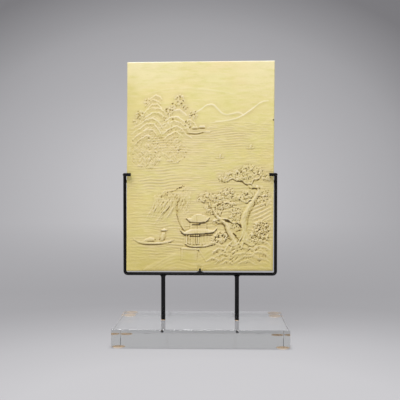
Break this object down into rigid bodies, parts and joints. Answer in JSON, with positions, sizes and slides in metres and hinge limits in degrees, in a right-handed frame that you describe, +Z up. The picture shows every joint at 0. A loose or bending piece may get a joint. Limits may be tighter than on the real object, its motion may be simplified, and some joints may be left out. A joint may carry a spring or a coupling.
{
  "type": "porcelain plaque on stand",
  "caption": "Rectangular porcelain plaque with a landscape carved in relief under glaze, held upright by a black wire cradle on a clear acrylic block.",
  "frame": {"origin": "bottom centre of the base, on the plane that its four feet stand on", "axes": "+Z up, +X to the right as the picture side is seen, -Y out of the picture side"},
  "size_m": [0.25, 0.126, 0.4117],
  "materials": {
    "clear_acrylic": "clear, polished",
    "cork": "matte cork",
    "black_paint": "satin black paint on brass rod",
    "glazed_porcelain": "straw-yellow gloss glaze"
  },
  "bodies": {
    "base": {"acrylic_base": "clear_acrylic", "foot_front_left": "cork", "foot_front_right": "cork", "foot_rear_left": "cork", "foot_rear_right": "cork"},
    "stand": {"left_post": "black_paint", "right_post": "black_paint", "cradle_rod": "black_paint", "bottom_saddle": "black_paint", "left_rear_hook": "black_paint", "right_rear_hook": "black_paint"},
    "tablet": {"plaque": "glazed_porcelain"}
  },
  "joints": [
    {"name": "stand_lift", "type": "slide", "parent": "base", "child": "stand", "axis": [0, 0, 1], "range_m": [0, 0.03]},
    {"name": "plaque_lift", "type": "slide", "parent": "stand", "child": "tablet", "axis": [0, 0, 1], "range_m": [0, 0.16]}
  ]
}
